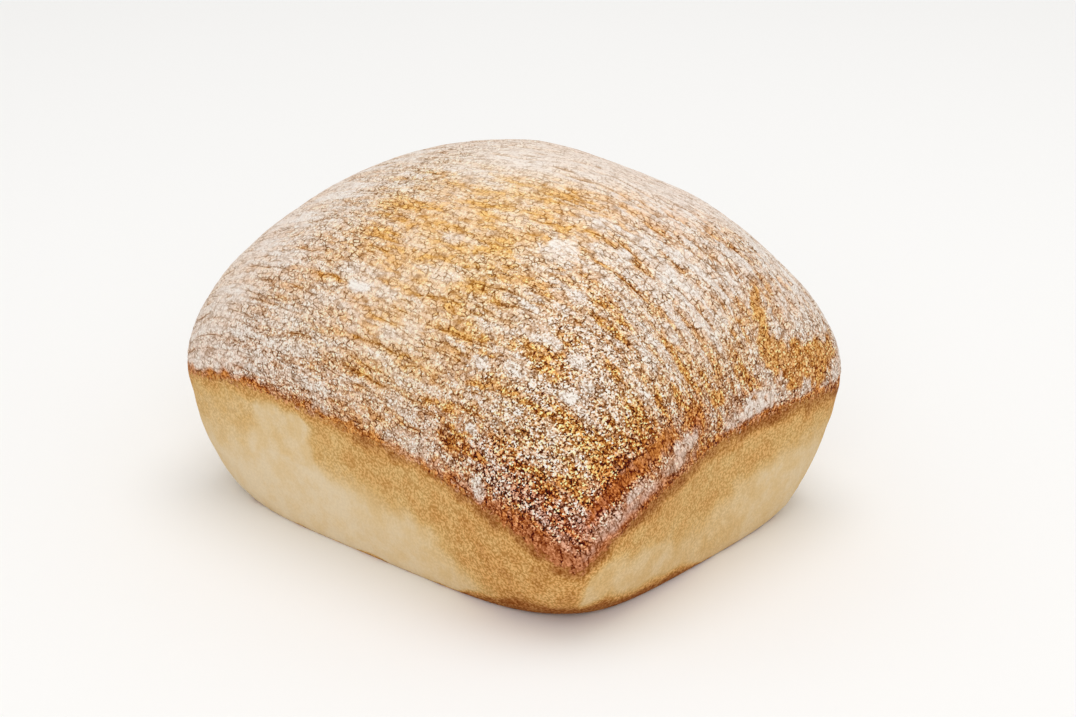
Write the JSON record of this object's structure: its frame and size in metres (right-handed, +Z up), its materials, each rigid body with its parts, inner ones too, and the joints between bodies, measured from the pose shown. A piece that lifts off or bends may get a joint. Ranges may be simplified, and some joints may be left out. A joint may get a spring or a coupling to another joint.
{
  "type": "sourdough roll",
  "caption": "Square-cut sourdough roll with a floured, domed top crust, bare golden cut faces and a flat browned base.",
  "frame": {"origin": "on the flat base, under the middle of the roll's outline", "axes": "+X along the roll's length, +Y along its width, +Z up through the domed top"},
  "size_m": [0.1012, 0.0812, 0.0644],
  "materials": {
    "crust": "matte"
  },
  "bodies": {
    "root": {"roll": "crust"}
  },
  "joints": []
}
